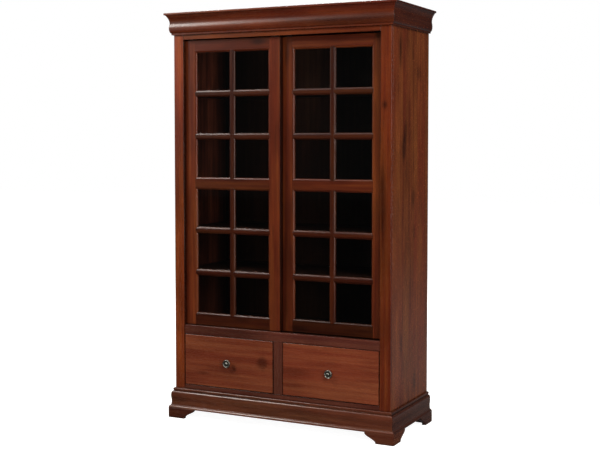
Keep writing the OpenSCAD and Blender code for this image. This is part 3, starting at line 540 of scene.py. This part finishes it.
# Rows of five along the boards, and nine up each side
row_pitch = 0.24
side_pitch = 0.215
lowest_screw = 0.28
edge_distance = 0.005
back_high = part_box("back_panel")[1]
screw_places = []
for board in ("case_bottom", "case_deck", "fixed_shelf", "case_top"):
    board_z = (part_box(board)[0].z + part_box(board)[1].z) / 2
    screw_places += [(row_pitch * i, board_z) for i in (-2, -1, 0, 1, 2)]
side_x = back_high.x - edge_distance
screw_places += [(side_x * side, lowest_screw + side_pitch * i) for side in (-1, 1) for i in range(9)]
first_x, first_z = screw_places[0]
screw_parts = {}
# One screw is made at the first place, and copied on from place to place. The cutters for the
# countersinks stand proud of the back, so that they cut right through its face.
for name, radius, sunk in (("countersinks", hole_radius, -head_sunk),
                           ("back_screws", hole_radius - head_gap, head_sunk)):
    bpy.ops.object.select_all(action="DESELECT")
    bpy.ops.mesh.primitive_cone_add(
        vertices=20, radius1=radius, radius2=radius * cone_end, depth=head_depth,
        rotation=(radians(90), 0, 0), location=(first_x, back_high.y - sunk - head_depth / 2, first_z))
    part = bpy.context.object
    part.name = name
    bpy.ops.object.transform_apply(location=True, rotation=True)
    screw_parts[name] = part
    bpy.ops.object.mode_set(mode="EDIT")
    bpy.ops.mesh.select_mode(type="FACE")
    bpy.ops.mesh.select_all(action="DESELECT")
    if name == "back_screws":
        # Cross recess: the middle of the head is sunk, and its corners are drawn in to a cross
        bpy.ops.object.mode_set(mode="OBJECT")
        for face in part.data.polygons:
            face.select = face.normal.y > 0.9
        bpy.ops.object.mode_set(mode="EDIT")
        bpy.ops.mesh.inset(thickness=radius * recess_rim)
        bpy.ops.mesh.select_mode(type="VERT")
        bpy.ops.object.mode_set(mode="OBJECT")
        for vertex in part.data.vertices:
            off_x, off_z = abs(vertex.co.x - first_x), abs(vertex.co.z - first_z)
            vertex.select = vertex.select and min(off_x, off_z) > radius * 0.3
        bpy.ops.object.mode_set(mode="EDIT")
        bpy.ops.transform.resize(value=(0.45, 1, 0.45), center_override=(first_x, back_high.y, first_z))
        bpy.ops.mesh.select_mode(type="FACE")
        bpy.ops.object.mode_set(mode="OBJECT")
        for face in part.data.polygons:
            off = Vector((face.center.x - first_x, face.center.z - first_z)).length
            face.select = face.normal.y > 0.9 and off < radius * 0.1
        bpy.ops.object.mode_set(mode="EDIT")
        bpy.ops.mesh.extrude_region_move(TRANSFORM_OT_translate={"value": (0, -recess_depth, 0)})
    bpy.ops.mesh.select_all(action="SELECT")
    for before, after in zip(screw_places, screw_places[1:]):
        bpy.ops.mesh.duplicate_move(
            TRANSFORM_OT_translate={"value": (after[0] - before[0], 0, after[1] - before[1])})
    bpy.ops.object.mode_set(mode="OBJECT")
holes = back_board.modifiers.new("countersinks", "BOOLEAN")
holes.operation = "DIFFERENCE"
holes.object = screw_parts["countersinks"]
pick(back_board)
bpy.ops.object.modifier_apply(modifier=holes.name)
bpy.data.objects.remove(screw_parts["countersinks"])
screws = screw_parts["back_screws"]
screws.data.materials.append(zinc)
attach(screws, "case")


# Lower track
# Rolled aluminium, anodised dark bronze, so that it doesn't show under the doors. It lies on the
# deck behind the face frame, and each door's wheels run in a groove of it.

# Satin anodised aluminium: a near-black brown that shines a little along its grooves
bronze = metal("bronze_anodised_aluminium", "#2E231C", 0.42)
show_in("lower_track", bronze)


# Sliding doors
# Each door has two stiles, three rails and glazing bars, with a moulded edge round every pane,
# glass in a rebate behind it, wheels in its foot and guides on its head.

# Moulded nylon: an even black with a soft sheen, broken up by the grain of the mould, 1.5 mm
# across here so that it shows
grain_size = 0.0015
nylon = blank_material("black_moulded_nylon")
tree = nylon.node_tree
place = node(tree, "ShaderNodeTexCoord")
grain = node(tree, "ShaderNodeTexNoise",
             {"Vector": place.outputs["Object"], "Scale": 1 / grain_size, "Detail": 2})
shade = node(tree, "ShaderNodeMix", {0: grain.outputs["Fac"], 6: colour("#151516"), 7: colour("#232325")},
             data_type="RGBA")
gloss = node(tree, "ShaderNodeMapRange", {"Value": grain.outputs["Fac"], "To Min": 0.4, "To Max": 0.6})
bump = node(tree, "ShaderNodeBump", {"Height": grain.outputs["Fac"], "Strength": 0.1, "Distance": 0.0002})
shader = node(tree, "ShaderNodeBsdfPrincipled",
              {"Base Color": shade.outputs[2], "Roughness": gloss.outputs[0], "Normal": bump.outputs[0]})
node(tree, "ShaderNodeOutputMaterial", {"Surface": shader.outputs[0]})

# Clear float glass 3 mm thick: hardly seen but for its sharp reflections, which slow waves
# 150 mm long bend a little
wave_size = 0.15
glass = blank_material("clear_float_glass")
tree = glass.node_tree
rays = node(tree, "ShaderNodeLightPath")
place = node(tree, "ShaderNodeTexCoord")
waves = node(tree, "ShaderNodeTexNoise",
             {"Vector": place.outputs["Object"], "Scale": 1 / wave_size, "Detail": 0})
bump = node(tree, "ShaderNodeBump", {"Height": waves.outputs["Fac"], "Strength": 0.1, "Distance": 0.001})
shader = node(tree, "ShaderNodeBsdfPrincipled",
              {"Base Color": colour("#F4F7F5"), "Roughness": 0.0, "IOR": 1.5, "Transmission Weight": 1,
               "Normal": bump.outputs[0]})
# Light from the lamps goes straight through the panes
open_way = node(tree, "ShaderNodeBsdfTransparent", {"Color": colour("#F4F7F5")})
surface = node(tree, "ShaderNodeMixShader", {0: rays.outputs["Is Shadow Ray"], 1: shader.outputs[0],
                                             2: open_way.outputs[0]})
node(tree, "ShaderNodeOutputMaterial", {"Surface": surface.outputs[0]})

# Painted shadow on the front door's lapping edge, on the rear door beside the right frame stile
# and beside the lap, a dark patch on the left door's top rail, and a few knots
door_painted_shadow_and_knots = (
    ((0.002, -0.201, 1.24), (0.004, 0.05, 3.0), 0.15),
    ((0.553, -0.186, 1.24), (0.026, 0.010, 3.0), 0.45),
    ((-0.123, -0.212, 1.958), (0.060, 0.005, 0.025), 0.40),
    ((0.028, -0.187, 1.900), (0.020, 0.005, 0.090), 0.50),
    ((0.028, -0.187, 0.850), (0.040, 0.005, 0.600), 0.65),
    ((0.100, -0.187, 0.515), (0.080, 0.005, 0.020), 0.50),
    ((-0.232, -0.212, 0.538), (0.070, 0.005, 0.020), 0.60))
# The stain of the frame under a satin lacquer, darkest on the rails and bars
door_wood = stained_wood("satin_stained_cherry_doors", figure=0.6, roughness=0.32, specular=0.25,
                         coat=0.19, polish=0.18, marks=door_painted_shadow_and_knots)
for door, stile_tones, rail_tones, bar_tones in (
        ("left_door", (0.74, 0.70), (0.26, 0.47, 0.53), (0.25, 0.28, 0.24)),
        ("right_door", (0.58, 0.73), (0.18, 0.53, 0.66), (0.26, 0.30, 0.25))):
    timber(door + "_frame_stiles", door + "_stiles", door, door_wood, tones=stile_tones, shortest=0.3)
    timber(door + "_frame_rails", door + "_rails", door, door_wood, tones=rail_tones, eased=0.0006,
           shortest=0.3)
    timber(door + "_bars", door + "_glazing_bars", door, door_wood, tones=bar_tones, eased=0.0004,
           shortest=0.6)
    timber(door + "_beads", door + "_glass_beads", door, inside_wood, eased=0.0006)
    show_in(door + "_glass", glass)
    show_in(door + "_wheel_housings", zinc)
    for name in ("_guides", "_wheel_1", "_wheel_2"):
        show_in(door + name, nylon)


# Drawers
# Solid fronts with level grain, fixed to dovetailed maple boxes that run on telescopic slides of
# zinc-plated steel.

# Painted shade along the gaps, a painted shadow below and right of the left knob, a knot further
# right, and darker clouds at the left of both
drawer_knots_and_painted_shade = (
    ((-0.0275, -0.245, 0.3), (0.006, 0.1, 3.0), 0.25),
    ((0.5505, -0.245, 0.3), (0.004, 0.1, 3.0), 0.30),
    ((-0.5505, -0.245, 0.3), (0.003, 0.1, 3.0), 0.50),
    ((0.0275, -0.245, 0.3), (0.003, 0.1, 3.0), 0.50),
    ((0.0, -0.245, 0.1805), (3.0, 0.1, 0.004), 0.40),
    ((-0.090, -0.245, 0.330), (0.038, 0.1, 0.050), 0.50),
    ((-0.255, -0.245, 0.290), (0.022, 0.1, 0.024), 0.60),
    ((-0.440, -0.245, 0.250), (0.050, 0.1, 0.012), 0.75),
    ((0.075, -0.245, 0.300), (0.140, 0.1, 0.030), 0.70),
    ((0.060, -0.245, 0.240), (0.080, 0.1, 0.040), 0.85))
# The plainest boards of the case, and a little lighter than the frame round them
drawer_wood = stained_wood("stained_cherry_drawers", red="#622A19", gold="#6A3721", figure=0.35,
                           streak=0.2, marks=drawer_knots_and_painted_shade)
# Clear lacquered maple: pale honey with a fine even grain
maple = stained_wood("lacquered_maple", red="#C8A070", gold="#CFAA7C", figure=0.25, streak=0.1,
                     roughness=0.35, coat=0.15)
for drawer, tone in (("left_drawer", 1.0), ("right_drawer", 1.12)):
    timber(drawer + "_face", drawer + "_front", drawer, drawer_wood, tones=(tone,), eased=0.002)
    timber(drawer + "_maple_box", drawer + "_box", drawer, maple, tones=(1, 0.94, 1.06), eased=0.0006,
           shortest=0.1)
    show_in(drawer + "_slide_middle", zinc)
    show_in(drawer + "_slide_inner", zinc)
show_in("slide_channels", zinc)


# Drawer knobs
# Cast and turned knobs, one fixed to the middle of each front: a rose, a waisted neck, a raised
# rim and a button in a dished face.

# Aged pewter: the hollows stay dull and dark, and the rim and button are rubbed bright. The pits
# of the casting are 1.4 mm across here so that they show.
pits_per_metre = 700
pewter = blank_material("aged_cast_pewter")
tree = pewter.node_tree
place = node(tree, "ShaderNodeTexCoord")
hollow = node(tree, "ShaderNodeAttribute", attribute_name="hollow")
pits = node(tree, "ShaderNodeTexNoise",
            {"Vector": place.outputs["Object"], "Scale": pits_per_metre, "Detail": 3})
grime = node(tree, "ShaderNodeMath", {0: hollow.outputs["Fac"], 1: pits.outputs["Fac"]}, operation="ADD")
dirt = node(tree, "ShaderNodeMapRange", {"Value": grime.outputs[0], "From Min": 0.45, "From Max": 1.2},
            interpolation_type="SMOOTHSTEP")
shade = node(tree, "ShaderNodeMix", {0: dirt.outputs[0], 6: colour("#898A83"), 7: colour("#55534C")},
             data_type="RGBA")
gloss = node(tree, "ShaderNodeMapRange", {"Value": dirt.outputs[0], "To Min": 0.38, "To Max": 0.6})
bump = node(tree, "ShaderNodeBump", {"Height": pits.outputs["Fac"], "Strength": 0.15, "Distance": 0.0003})
shader = node(tree, "ShaderNodeBsdfPrincipled",
              {"Base Color": shade.outputs[2], "Metallic": 1, "Roughness": gloss.outputs[0],
               "Normal": bump.outputs[0]})
node(tree, "ShaderNodeOutputMaterial", {"Surface": shader.outputs[0]})


def bend(start, end, radius_first, steps=8):
    """Points of a quarter of an ellipse between two places (radius, stand-out). It sets out along
    the radius, or else straight off the drawer."""
    turns = [pi / 2 * i / steps for i in range(steps + 1)]
    if radius_first:
        return [(start[0] + (end[0] - start[0]) * sin(t), start[1] + (end[1] - start[1]) * (1 - cos(t)))
                for t in turns]
    return [(start[0] + (end[0] - start[0]) * (1 - cos(t)), start[1] + (end[1] - start[1]) * sin(t))
            for t in turns]


for drawer in ("left_drawer", "right_drawer"):
    low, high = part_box(drawer + "_knob")
    middle = (low + high) / 2
    knob_radius = (high.x - low.x) / 2
    knob_out = high.y - low.y
    # Profile from the rose to the middle of the button, as (radius, stand-out). The rose is 2 mm
    # thick, and a fine groove runs round the button.
    rose = (knob_radius * 0.45, 0.002)
    neck = (knob_radius * 0.32, knob_out * 0.24)
    back = (knob_radius * 0.75, knob_out * 0.48)
    edge = (knob_radius, knob_out * 0.70)
    rim = (knob_radius * 0.86, knob_out * 0.88)
    dish = (knob_radius * 0.50, knob_out * 0.76)
    button = (knob_radius * 0.42, knob_out * 0.76)
    outline = [(0.0, 0.0), (rose[0], 0.0)] + bend(rose, neck, True) + bend(neck, back, False)[1:]
    outline += bend(back, edge, True)[1:] + bend(edge, rim, False)[1:] + bend(rim, dish, False)[1:]
    outline += [(button[0] + 0.0004, dish[1] - 0.0006)] + bend(button, (0.0, knob_out), False, 10)
    # A small plane shrinks to one point, which is drawn out along the profile and spun
    bpy.ops.object.select_all(action="DESELECT")
    bpy.ops.mesh.primitive_plane_add(size=0.001, location=(middle.x, high.y, middle.z))
    knob = bpy.context.object
    knob.name = drawer + "_turned_knob"
    bpy.ops.object.transform_apply(location=True)
    bpy.ops.object.mode_set(mode="EDIT")
    bpy.ops.mesh.select_mode(type="VERT")
    bpy.ops.mesh.select_all(action="SELECT")
    bpy.ops.mesh.merge(type="CENTER")
    for before, after in zip(outline, outline[1:]):
        bpy.ops.mesh.extrude_region_move(
            TRANSFORM_OT_translate={"value": (after[0] - before[0], before[1] - after[1], 0)})
    bpy.ops.mesh.select_all(action="SELECT")
    bpy.ops.mesh.spin(steps=48, angle=2 * pi, center=(middle.x, high.y, middle.z), axis=(0, 1, 0))
    bpy.ops.mesh.select_all(action="SELECT")
    bpy.ops.mesh.remove_doubles(threshold=0.00002)
    bpy.ops.mesh.normals_make_consistent(inside=False)
    bpy.ops.object.mode_set(mode="OBJECT")
    bpy.ops.object.shade_smooth_by_angle(angle=radians(50))
    # The attribute says how deep in the dish or the neck each point lies
    hollow = knob.data.attributes.new("hollow", "FLOAT", "POINT")
    for vertex in knob.data.vertices:
        radius = (Vector((vertex.co.x, 0, vertex.co.z)) - Vector((middle.x, 0, middle.z))).length
        out = high.y - vertex.co.y
        in_dish = 0.0
        if out > edge[1]:
            in_dish = max(0.0, 1 - abs(radius - dish[0]) / (knob_radius * 0.22))
        in_neck = max(0.0, 1 - abs(out - neck[1]) / (knob_out * 0.25)) * 0.7
        hollow.data[vertex.index].value = max(in_dish, in_neck)
    knob.data.materials.append(pewter)
    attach(knob, drawer)
    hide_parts(drawer + "_knob")


# Colours are shown as they are.
bpy.context.scene.view_settings.view_transform = "Standard"
